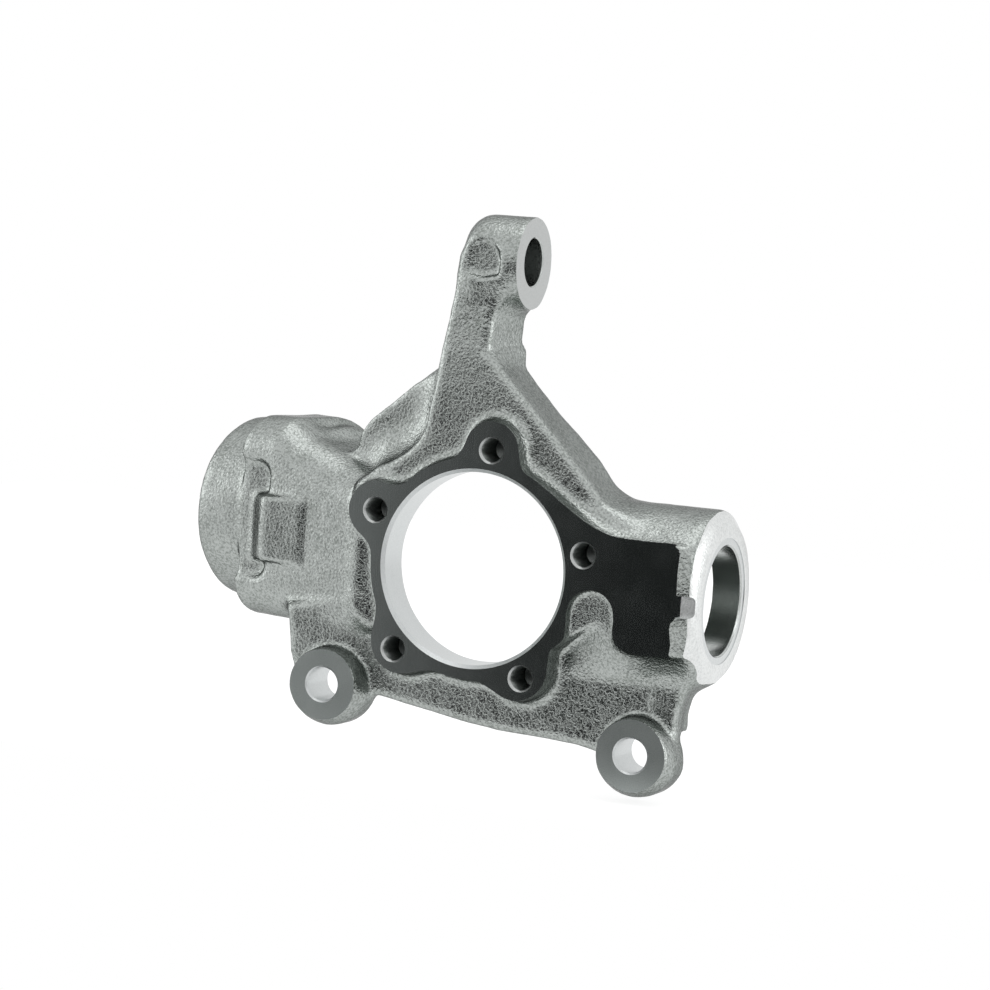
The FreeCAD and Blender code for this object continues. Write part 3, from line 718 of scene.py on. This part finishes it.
@dataclass
class Knuckle:
    """The whole steering knuckle: cast in one piece, then machined."""

    flange: HubFlange = field(default_factory=HubFlange)
    webs: Webs = field(default_factory=Webs)
    eye: SteeringEye = field(default_factory=SteeringEye)
    joint: JointBoss = field(default_factory=JointBoss)
    strut: StrutSocket = field(default_factory=StrutSocket)

    def casting(self) -> bpy.types.Object:
        """The rough casting with its sandy skin.

        Returns:
            The casting as one closed mesh.
        """
        mould = Mould()
        self.webs.cast(mould)
        self.strut.cast(mould)
        self.joint.cast(mould)
        self.eye.cast(mould)
        self.flange.cast(mould)
        self.webs.cast_lugs(mould)
        self.flange.relieve(mould)
        self.joint.core(mould)
        mould.soften(1)
        points, faces = mould.skin()
        rough = mesh_object("rough_casting", points, faces, Finish.CAST)
        LOG.info("rough casting: %d faces", len(faces))
        return rough

    def pebble(self, rough: bpy.types.Object) -> None:
        """Presses the mould's unevenness into the skin.

        Args:
            rough: The casting.
        """
        mesh = rough.data
        count = len(mesh.vertices)
        spots, normals = np.empty(count * 3), np.empty(count * 3)
        mesh.vertices.foreach_get("co", spots)
        mesh.vertex_normals.foreach_get("vector", normals)
        spots, normals = spots.reshape(-1, 3), normals.reshape(-1, 3)
        height = np.empty(count)
        for index, spot in enumerate(spots / MM):
            place = Vector(spot)
            height[index] = (noise.noise(place / 17.0) * 0.26 + noise.noise(place / 5.0) * 0.10
                             + noise.noise(place / 2.3) * 0.05)
        spots += normals * height[:, None] * MM
        mesh.vertices.foreach_set("co", spots.ravel())
        mesh.update()

    def cutters(self) -> list[list[bpy.types.Object]]:
        """Every machining tool, in groups that are cut one after the other.

        Returns:
            Groups of tools; the tools of one group don't touch each other.
        """
        flange, joint, strut, eye = self.flange, self.joint, self.strut, self.eye
        joint_foot, eye_foot = (joint.end, joint.depth, joint.height), (eye.face, eye.depth, eye.height)
        sweep = [(-160, -110), (116, -110), (116, -52.3), (98.2, -44), (98.2, -28), (99.0, -23.4),
                 (98.6, -16.2), (99.2, -13.4), (101.2, -11.2), (101.2, 0.4), (100.3, 10), (100.1, 17.2),
                 (99.3, 19.2), (97.4, 20.2), (97.4, 100), (-160, 100)]
        end_face = [(0, 0), (0, joint.face_radius), (-5.2, joint.face_radius + 7.4), (-5.2, 46.0), (20, 46.0),
                    (20, 0)]
        eye_side = [(0, 0), (0, 40), (10, 40), (10, 0)]
        faces = [prism("face_mill", sweep, -30, 0, Finish.MILLED),
                 # The lower joint's end face takes the ground grey, which is partly painted light.
                 turned("joint_face", end_face, joint_foot, (1, 0, 0), Finish.GROUND, 160),
                 turned("eye_face", eye_side, eye_foot, (1, 0, 0), Finish.TURNED, 96)]
        bore, ring = flange.bore, 1.6
        slot = [(60.0, -10.6), (106.6, -10.6), *arc((106.6, -8.2), 2.4, -90, 0, 8),
                *arc((106.6, -3.2), 2.4, 0, 90, 8), (60.0, -0.8)]
        seat = [(-joint.seat - 8, 0), (-joint.seat - 8, joint.bore), (-1.0, joint.bore),
                (0, joint.bore + 1.0), (5, joint.bore + 6.0), (5, 0)]
        taper = [(-eye.length - 5, 0), (-eye.length - 5, eye.small_bore - 0.3), (-0.6, eye.bore),
                 (0, eye.bore + 0.6), (5, eye.bore + 5), (5, 0)]
        foot, along, _ = strut.frame()
        deep = strut.end - strut.bore_depth
        socket_bore = [(deep, 0), (deep, strut.bore), (strut.end - 1.5, strut.bore),
                       (strut.end + 0.5, strut.bore + 2), (strut.end + 4, strut.bore + 5.5),
                       (strut.end + 4, 0)]
        hub = [(-20, 0), (-20, bore + ring + 1), (-1, bore + ring + 1), (0, bore + ring), (ring, bore),
               (40, bore), (40, 0)]
        holes = [turned("hub_bore", hub, (0, 0, 0), (0, 1, 0), Finish.BRIGHT, 256),
                 # The slot takes the same ground grey, which is partly painted light.
                 prism("slot_mill", slot, -30, 0, Finish.GROUND),
                 turned("joint_bore", seat, joint_foot, (1, 0, 0), Finish.BORED, 192),
                 turned("eye_bore", taper, eye_foot, (1, 0, 0), Finish.BORED, 128),
                 turned("strut_bore", socket_bore, tuple(foot), tuple(along), Finish.BORED, 192),
                 *(self.tap(f"tap_{index}", (x, 0, z)) for index, (x, z) in enumerate(flange.bolts()))]
        ring_cut = [(-0.25, 0), (-0.25, joint.ring), (12, joint.ring), (12, 0)]
        drills = [turned("joint_ring", ring_cut, joint_foot, (1, 0, 0), Finish.BRIGHT, 160)]
        for side, (x, z) in zip(("left", "right"), self.webs.lugs):
            spot = [(-9, 0), (-9, 17.6), (0.02, 17.6), (0.02, 0)]
            holes.append(turned(f"{side}_spot_face", spot, (x, 0, z), (0, 1, 0), Finish.SPOT_FACED, 128))
            drill = [(-9, 0), (-9, 17.0), (0, 8.55), (0.8, 7.75), (40, 7.75), (40, 0)]
            drills.append(turned(f"{side}_lug_drill", drill, (x, 0, z), (0, 1, 0), Finish.BRIGHT, 96))
        return [faces, holes, drills]

    def tap(self, name: str, place: Point) -> bpy.types.Object:
        """A tap with its countersink, as the body that it takes away.

        Args:
            name: Name of the object.
            place: Where it enters the milled face.

        Returns:
            The object.
        """
        core, ridge, pitch, segments = 5.1, 0.72, 1.5, 40
        heights = [-1.0, 0.0, 0.5, *np.arange(0.9, 17.3, pitch / 4), 17.6, 18.4]
        points, faces = [], []
        for row, height in enumerate(heights):
            for index in range(segments):
                turn = index / segments
                radius = {0: 7.27, 1: 6.2, 2: 5.8}.get(row, core)
                if 3 <= row < len(heights) - 2:
                    phase = (height / pitch - turn) % 1.0
                    radius = core + ridge * (1 - abs(2 * phase - 1))
                if row == len(heights) - 1:
                    radius = 1.2
                points.append((place[0] + radius * math.cos(math.tau * turn), place[1] + height,
                               place[2] + radius * math.sin(math.tau * turn)))
        for row in range(len(heights) - 1):
            for index in range(segments):
                a, b = row * segments + index, row * segments + (index + 1) % segments
                faces.append([a, a + segments, b + segments, b])
        last = (len(heights) - 1) * segments
        faces.append(list(range(segments)))
        faces.append(list(range(last + segments - 1, last - 1, -1)))
        tap = mesh_object(name, np.array(points), faces, Finish.THREADED)
        tap.data.materials.append(bpy.data.materials[Finish.TURNED.value])
        for face in tap.data.polygons[:3 * segments]:
            face.material_index = 1
        return tap

    def machined(self, rough: bpy.types.Object) -> bpy.types.Object:
        """Cuts the casting to its finished form.

        Args:
            rough: The casting.

        Returns:
            The finished knuckle as one mesh.
        """
        for step, tools in enumerate(self.cutters()):
            cut = rough.modifiers.new(f"cut_{step}", "BOOLEAN")
            cut.operation, cut.object = "DIFFERENCE", joined(f"tools_{step}", tools)
            cut.solver, cut.material_mode = "MANIFOLD", "TRANSFER"
        evaluated = rough.evaluated_get(bpy.context.evaluated_depsgraph_get())
        mesh = bpy.data.meshes.new_from_object(evaluated, preserve_all_data_layers=True,
                                               depsgraph=bpy.context.evaluated_depsgraph_get())
        mesh.name = "knuckle_casting"
        mesh.polygons.foreach_set("use_smooth", [True] * len(mesh.polygons))
        mesh.set_sharp_from_angle(angle=math.radians(38))
        piece = bpy.data.objects.new("knuckle_casting", mesh)
        bpy.context.scene.collection.objects.link(piece)
        for cut in rough.modifiers:
            bpy.data.objects.remove(cut.object, do_unlink=True)
        bpy.data.objects.remove(rough, do_unlink=True)
        return piece

    def build(self) -> bpy.types.Object:
        """Casts, textures and machines the knuckle.

        Returns:
            The finished piece, riding on the row's one body.
        """
        rough = self.casting()
        self.pebble(rough)
        piece = self.machined(rough)
        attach(piece, "root")
        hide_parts("knuckle")
        return piece


# Finishes


@dataclass(frozen=True)
class Iron:
    """How one kind of iron surface looks."""

    finish: Finish
    dark: tuple[float, float, float]
    light: tuple[float, float, float]
    roughness: float
    grain: float
    depth: float
    lines: float = 0.0
    edge: float = 1.0
    metallic: float = 1.0

    def material(self) -> bpy.types.Material:
        """The surface as a node material.

        Returns:
            The material, named for its finish.
        """
        material = bpy.data.materials.new(self.finish.value)
        material.use_nodes = True
        tree = material.node_tree
        shader = tree.nodes["Principled BSDF"]
        shader.inputs["Metallic"].default_value = self.metallic
        shader.inputs["Specular Tint"].default_value = (self.edge, self.edge, self.edge, 1)
        place = tree.nodes.new("ShaderNodeTexCoord")
        grain = tree.nodes.new("ShaderNodeGroup")
        grain.node_tree = grain_group()
        tree.links.new(place.outputs["Object"], grain.inputs["Place"])
        for name, value in (("Size", self.grain), ("Lines", self.lines), ("Dark", (*self.dark, 1)),
                            ("Light", (*self.light, 1)), ("Roughness", self.roughness)):
            grain.inputs[name].default_value = value
        bump = tree.nodes.new("ShaderNodeBump")
        bump.inputs["Distance"].default_value = self.depth * MM
        bump.inputs["Strength"].default_value = 1.0
        tree.links.new(grain.outputs["Height"], bump.inputs["Height"])
        tree.links.new(grain.outputs["Color"], shader.inputs["Base Color"])
        tree.links.new(grain.outputs["Roughness"], shader.inputs["Roughness"])
        tree.links.new(bump.outputs["Normal"], shader.inputs["Normal"])
        return material


def socket(tree: bpy.types.NodeTree, name: str, way: str, kind: str) -> None:
    """Adds a named input or output to a node group."""
    tree.interface.new_socket(name, in_out=way, socket_type=kind)


def grain_group() -> bpy.types.NodeTree:
    """Grain shared by every iron finish: sandy pits where it is cast, tool lines where it is cut.

    Returns:
        The node group, built once.
    """
    if "iron_grain" in bpy.data.node_groups:
        return bpy.data.node_groups["iron_grain"]
    tree = bpy.data.node_groups.new("iron_grain", "ShaderNodeTree")
    inputs = {"Place": "Vector", "Size": "Float", "Lines": "Float", "Dark": "Color", "Light": "Color",
              "Roughness": "Float"}
    for name, kind in inputs.items():
        socket(tree, name, "INPUT", f"NodeSocket{kind}")
    for name, kind in {"Color": "Color", "Roughness": "Float", "Height": "Float"}.items():
        socket(tree, name, "OUTPUT", f"NodeSocket{kind}")
    start = tree.nodes.new("NodeGroupInput")
    end = tree.nodes.new("NodeGroupOutput")

    def noise_node(scale_by: str | None, scale: float, detail: float) -> bpy.types.Node:
        node = tree.nodes.new("ShaderNodeTexNoise")
        node.inputs["Detail"].default_value = detail
        tree.links.new(start.outputs["Place"], node.inputs["Vector"])
        if scale_by:
            factor = tree.nodes.new("ShaderNodeMath")
            factor.operation = "DIVIDE"
            factor.inputs[0].default_value = scale
            tree.links.new(start.outputs[scale_by], factor.inputs[1])
            tree.links.new(factor.outputs[0], node.inputs["Scale"])
        else:
            node.inputs["Scale"].default_value = scale
        return node

    wrinkle = noise_node("Size", 1000.0, 2.5)
    step = tree.nodes.new("ShaderNodeMapRange")
    step.interpolation_type = "SMOOTHSTEP"
    step.inputs["From Min"].default_value = 0.34
    step.inputs["From Max"].default_value = 0.66
    tree.links.new(wrinkle.outputs["Fac"], step.inputs["Value"])
    broad = noise_node(None, 70.0, 4.0)
    stretch = tree.nodes.new("ShaderNodeVectorMath")
    stretch.operation = "MULTIPLY"
    stretch.inputs[1].default_value = (4200.0, 700.0, 60.0)
    tree.links.new(start.outputs["Place"], stretch.inputs[0])
    streak = tree.nodes.new("ShaderNodeTexNoise")
    streak.inputs["Scale"].default_value = 1.0
    streak.inputs["Detail"].default_value = 2.0
    tree.links.new(stretch.outputs[0], streak.inputs["Vector"])
    height = tree.nodes.new("ShaderNodeMix")
    tree.links.new(start.outputs["Lines"], height.inputs["Factor"])
    tree.links.new(step.outputs["Result"], height.inputs["A"])
    tree.links.new(streak.outputs["Fac"], height.inputs["B"])
    speck = noise_node("Size", 1150.0, 3.0)
    tone = tree.nodes.new("ShaderNodeMath")
    tone.operation = "MULTIPLY_ADD"
    tone.inputs[1].default_value = 0.8
    tree.links.new(speck.outputs["Fac"], tone.inputs[0])
    share = tree.nodes.new("ShaderNodeMath")
    share.operation = "MULTIPLY"
    share.inputs[1].default_value = 0.2
    tree.links.new(broad.outputs["Fac"], share.inputs[0])
    tree.links.new(share.outputs[0], tone.inputs[2])
    spread = tree.nodes.new("ShaderNodeMapRange")
    spread.inputs["From Min"].default_value = 0.36
    spread.inputs["From Max"].default_value = 0.56
    tree.links.new(tone.outputs[0], spread.inputs["Value"])
    color = tree.nodes.new("ShaderNodeMix")
    color.data_type = "RGBA"
    tree.links.new(spread.outputs["Result"], color.inputs["Factor"])
    tree.links.new(start.outputs["Dark"], color.inputs["A"])
    tree.links.new(start.outputs["Light"], color.inputs["B"])
    rough = tree.nodes.new("ShaderNodeMath")
    rough.operation = "MULTIPLY_ADD"
    rough.inputs[1].default_value = 0.08
    tree.links.new(broad.outputs["Fac"], rough.inputs[0])
    tree.links.new(start.outputs["Roughness"], rough.inputs[2])
    tree.links.new(color.outputs["Result"], end.inputs["Color"])
    tree.links.new(rough.outputs[0], end.inputs["Roughness"])
    tree.links.new(height.outputs["Result"], end.inputs["Height"])
    return tree


FINISHES = (
    Iron(Finish.CAST, (0.24, 0.26, 0.245), (0.42, 0.445, 0.43), 0.13, 1.25, 0.115, edge=0.4),
    Iron(Finish.MILLED, (0.34, 0.37, 0.36), (0.40, 0.43, 0.42), 0.10, 0.5, 0.012, lines=1.0),
    Iron(Finish.SPOT_FACED, (0.30, 0.33, 0.32), (0.40, 0.43, 0.42), 0.30, 0.5, 0.03, lines=1.0),
    Iron(Finish.TURNED, (0.43, 0.445, 0.44), (0.50, 0.515, 0.51), 0.30, 0.5, 0.012),
    # Painted light in part: this grey is far lighter than the turned and milled greys, both for the ground
    # finish and to stand in for the stronger light on the lower joint's right-facing end.
    Iron(Finish.GROUND, (0.62, 0.635, 0.63), (0.74, 0.755, 0.75), 0.34, 1.1, 0.06),
    Iron(Finish.BORED, (0.36, 0.38, 0.37), (0.50, 0.52, 0.51), 0.18, 0.6, 0.01),
    Iron(Finish.BRIGHT, (0.52, 0.545, 0.545), (0.60, 0.62, 0.62), 0.26, 0.6, 0.012),
    Iron(Finish.THREADED, (0.20, 0.215, 0.21), (0.30, 0.32, 0.31), 0.26, 0.5, 0.012),
)


# Studio


@dataclass
class Studio:
    """Camera, floor, world and lamps."""

    azimuth: float = 22.55
    elevation: float = 4.59
    roll: float = 4.15
    distance: float = 1652.0
    focal: float = 3664.0
    frame: float = 990.0
    aim: Point = (8.7, 0.0, 34.5)
    floor: float = -0.0975
    floor_size: tuple[Flat, Flat] = ((-900.0, 900.0), (-60.0, 1200.0))
    flag_reach: float = 1100.0
    flag_sides: Flat = (-48.0, 70.0)
    flag_heights: Flat = (-520.0, 260.0)
    flag_fades: tuple[float, float, float] = (30.0, 200.0, 220.0)

    def camera(self) -> None:
        """The camera at the photograph's angle."""
        az, el, roll = (math.radians(v) for v in (self.azimuth, self.elevation, self.roll))
        back = Vector((math.sin(az) * math.cos(el), -math.cos(az) * math.cos(el), math.sin(el)))
        right = (-back).cross(Vector((0, 0, 1))).normalized()
        up = right.cross(-back)
        right, up = (math.cos(roll) * right + math.sin(roll) * up,
                     math.cos(roll) * up - math.sin(roll) * right)
        data = bpy.data.cameras.new("camera")
        data.sensor_width = 36.0
        data.lens = self.focal / self.frame * data.sensor_width
        data.clip_end = 50.0
        camera = bpy.data.objects.new("camera", data)
        turn = Matrix((right, up, back)).transposed().to_4x4()
        camera.matrix_world = Matrix.Translation((Vector(self.aim) + back * self.distance) * MM) @ turn
        bpy.context.scene.collection.objects.link(camera)
        bpy.context.scene.camera = camera

    def surround(self) -> None:
        """The world: white all round, with a black flag in front that only the iron mirrors."""
        world = bpy.data.worlds.new("studio")
        bpy.context.scene.world = world
        world.use_nodes = True
        tree = world.node_tree
        tree.nodes.clear()
        room = tree.nodes.new("ShaderNodeBackground")
        room.inputs["Color"].default_value = (1, 1, 1, 1)
        room.inputs["Strength"].default_value = 0.8
        white = tree.nodes.new("ShaderNodeBackground")
        white.inputs["Color"].default_value = (1, 1, 1, 1)
        mix = tree.nodes.new("ShaderNodeMixShader")
        tree.links.new(self.seen(tree), mix.inputs["Fac"])
        tree.links.new(room.outputs[0], mix.inputs[1])
        tree.links.new(white.outputs[0], mix.inputs[2])
        out = tree.nodes.new("ShaderNodeOutputWorld")
        tree.links.new(mix.outputs[0], out.inputs["Surface"])

    def seen(self, tree: bpy.types.NodeTree) -> bpy.types.NodeSocket:
        """Whether a ray comes from the camera, or from it by way of metal or glass.

        Args:
            tree: The nodes that ask.

        Returns:
            A socket that is 1 for such a ray.
        """
        path = tree.nodes.new("ShaderNodeLightPath")
        total = path.outputs["Is Camera Ray"]
        for name in ("Is Glossy Ray", "Is Transmission Ray"):
            either = tree.nodes.new("ShaderNodeMath")
            either.operation = "MAXIMUM"
            tree.links.new(total, either.inputs[0])
            tree.links.new(path.outputs[name], either.inputs[1])
            total = either.outputs[0]
        return total

    def flag(self) -> None:
        """The black cloth that hangs in a bow behind the camera, which the iron mirrors."""
        (left, right), (low, high) = self.flag_sides, self.flag_heights
        columns, rows = 48, 32
        points, faces = [], []
        for row in range(rows + 1):
            for column in range(columns + 1):
                side = math.radians(left + (right - left) * column / columns)
                points.append((self.flag_reach * math.sin(side), -self.flag_reach * math.cos(side),
                               low + (high - low) * row / rows))
        for row in range(rows):
            for column in range(columns):
                first = row * (columns + 1) + column
                faces.append([first, first + 1, first + columns + 2, first + columns + 1])
        cloth = mesh_object("flag", np.array(points), faces, Finish.CAST)
        fade = cloth.data.attributes.new("fade", "FLOAT", "POINT")
        for index, value in enumerate(fade.data):
            row, column = divmod(index, columns + 1)
            side = (right - left) * column / columns
            drop = (high - low) * (1 - row / rows)
            sides, top, foot = self.flag_fades
            edge = min(side / sides, (right - left - side) / sides, drop / top,
                       (high - low - drop) / foot, 1.0)
            value.value = edge * edge * (3 - 2 * edge)
        material = bpy.data.materials.new("black_cloth")
        material.use_nodes = True
        tree = material.node_tree
        shader = tree.nodes["Principled BSDF"]
        shader.inputs["Base Color"].default_value = (0.02, 0.022, 0.022, 1)
        shader.inputs["Roughness"].default_value = 1.0
        shader.inputs["Specular IOR Level"].default_value = 0.0
        thin = tree.nodes.new("ShaderNodeAttribute")
        thin.attribute_name = "fade"
        tree.links.new(thin.outputs["Fac"], shader.inputs["Alpha"])
        cloth.data.materials.clear()
        cloth.data.materials.append(material)
        cloth.visible_camera = False

    def ground(self) -> None:
        """The pale floor, white to the camera where no shadow falls."""
        (left, right), (front, back) = self.floor_size
        corners = [(left, front, 0), (right, front, 0), (right, back, 0), (left, back, 0)]
        floor = mesh_object("floor", np.array(corners), [[0, 1, 2, 3]], Finish.CAST)
        floor.location.z = self.floor
        material = bpy.data.materials.new("floor")
        material.use_nodes = True
        tree = material.node_tree
        shader = tree.nodes["Principled BSDF"]
        shader.inputs["Base Color"].default_value = (0.85, 0.85, 0.85, 1)
        shader.inputs["Roughness"].default_value = 0.9
        glow = tree.nodes.new("ShaderNodeEmission")
        glow.inputs["Color"].default_value = (1, 1, 1, 1)
        glow.inputs["Strength"].default_value = 1.35
        share = tree.nodes.new("ShaderNodeMath")
        share.operation = "MULTIPLY"
        share.inputs[1].default_value = 0.6
        tree.links.new(self.seen(tree), share.inputs[0])
        mix = tree.nodes.new("ShaderNodeMixShader")
        tree.links.new(share.outputs[0], mix.inputs["Fac"])
        tree.links.new(shader.outputs[0], mix.inputs[1])
        tree.links.new(glow.outputs[0], mix.inputs[2])
        tree.links.new(mix.outputs[0], tree.nodes["Material Output"].inputs["Surface"])
        floor.data.materials.clear()
        floor.data.materials.append(material)

    def lamp(self, name: str, place: Point, size: float, power: float) -> None:
        """A square softbox aimed at the object.

        Args:
            name: Name of the lamp.
            place: Where it stands, in metres.
            size: Its side, in metres.
            power: Its power, in watts.
        """
        data = bpy.data.lights.new(name, "AREA")
        data.size, data.energy = size, power
        lamp = bpy.data.objects.new(name, data)
        lamp.location = place
        aim = Vector((-0.02, 0.03, 0.03)) - Vector(place)
        lamp.rotation_euler = aim.to_track_quat("-Z", "Y").to_euler()
        bpy.context.scene.collection.objects.link(lamp)

    def build(self) -> None:
        """Sets the whole studio up."""
        bpy.context.scene.view_settings.view_transform = "Standard"
        self.camera()
        self.surround()
        self.ground()
        self.flag()
        self.lamp("left_box", (-1.6, -0.1, 0.45), 1.0, 3.4)
        self.lamp("right_box", (1.6, 0.25, 0.45), 1.0, 4.2)
        self.lamp("top_box", (0.0, 0.1, 1.7), 1.1, 3.4)


def main() -> None:
    """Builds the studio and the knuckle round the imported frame."""
    logging.basicConfig(level=logging.INFO, format="%(name)s: %(message)s")
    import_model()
    for finish in FINISHES:
        finish.material()
    Studio().build()
    piece = Knuckle().build()
    triangles = sum(len(face.vertices) - 2 for face in piece.data.polygons)
    LOG.info("knuckle casting: %d triangles", triangles)


if __name__ == "__main__":
    main()
